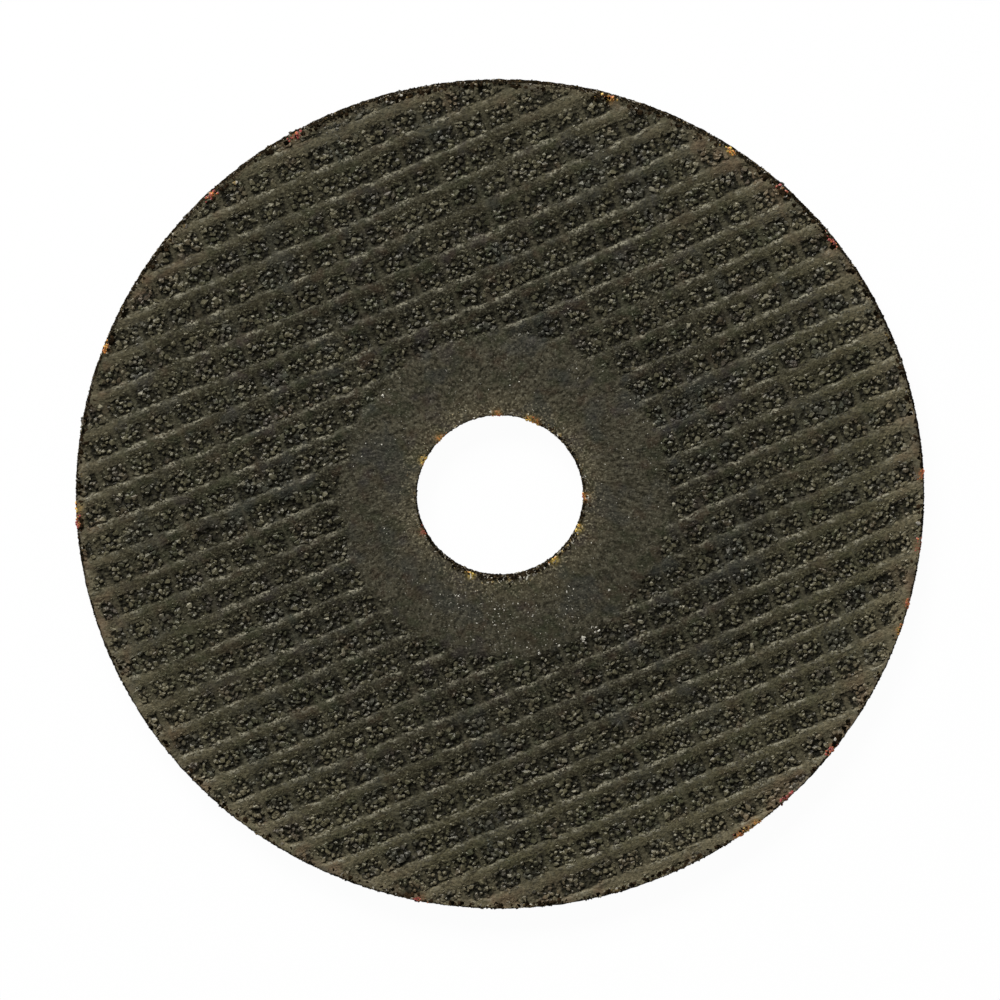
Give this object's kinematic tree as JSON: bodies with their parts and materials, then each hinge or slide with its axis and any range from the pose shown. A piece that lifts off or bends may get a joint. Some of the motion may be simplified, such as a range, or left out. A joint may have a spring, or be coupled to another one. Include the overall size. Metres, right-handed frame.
{
  "type": "cut off wheel",
  "caption": "Flat resin bonded abrasive disc with a woven glass net pressed into its faces, a smooth clamping ring and a plain arbor bore, for cutting metal on an angle grinder.",
  "frame": {"origin": "on the bore's axis, at the lower face that the wheel lies on", "axes": "+Z along the bore's axis, out of the face that the picture shows; +X to the picture's right and +Y to its top, so the net's warp runs at 23.3 degrees from +X"},
  "size_m": [0.115, 0.115, 0.0025],
  "materials": {
    "abrasive": "matt dark olive grey resin with coarse grain in the cells of a glass net"
  },
  "bodies": {
    "root": {"cutoff_wheel": "abrasive"}
  },
  "joints": []
}
